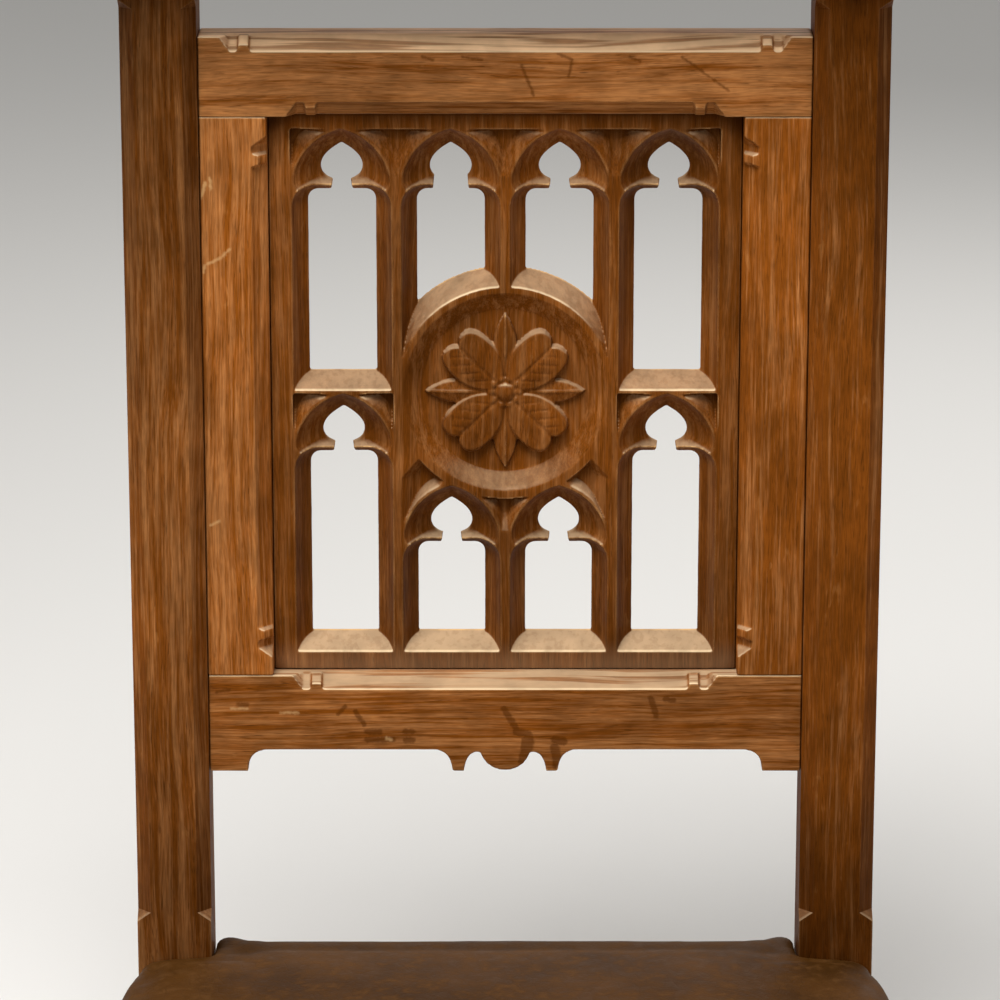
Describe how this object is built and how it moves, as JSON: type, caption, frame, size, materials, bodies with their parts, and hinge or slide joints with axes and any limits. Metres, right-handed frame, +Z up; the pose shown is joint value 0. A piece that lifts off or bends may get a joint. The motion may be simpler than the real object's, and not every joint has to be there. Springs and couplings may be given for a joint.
{
  "type": "kneeling bench",
  "caption": "Oak Gothic-style kneeling bench: chamfered posts carry a framed, pierced tracery panel with a carved roundel and a sloping book desk, behind a low leather-covered pad.",
  "frame": {"origin": "on the floor, at the middle of the bench's bounding box", "axes": "+Z up; -Y towards the kneeling person, who faces +Y; +X to that person's right"},
  "size_m": [0.58, 0.52, 0.9446],
  "materials": {
    "oak": "waxed antique oak",
    "leather": "worn dark brown hide",
    "stuffing": "matted horsehair",
    "webbing": "woven jute",
    "hessian": "plain-woven jute cloth"
  },
  "bodies": {
    "root": {"left_post": "oak", "right_post": "oak", "top_rail": "oak", "bottom_rail": "oak", "left_stile": "oak", "right_stile": "oak", "tracery_panel": "oak", "left_front_leg": "oak", "right_front_leg": "oak", "front_seat_rail": "oak", "back_seat_rail": "oak", "left_seat_rail": "oak", "right_seat_rail": "oak", "corner_brace_front_left": "oak", "corner_brace_front_right": "oak", "corner_brace_back_left": "oak", "corner_brace_back_right": "oak", "left_desk_bearer": "oak", "right_desk_bearer": "oak", "desk_board": "oak", "book_ledge": "oak", "webbing_long_1": "webbing", "webbing_long_2": "webbing", "webbing_long_3": "webbing", "webbing_long_4": "webbing", "webbing_cross_1": "webbing", "webbing_cross_2": "webbing", "webbing_cross_3": "webbing", "hessian": "hessian", "stuffing": "stuffing", "leather_cover": "leather"}
  },
  "joints": []
}
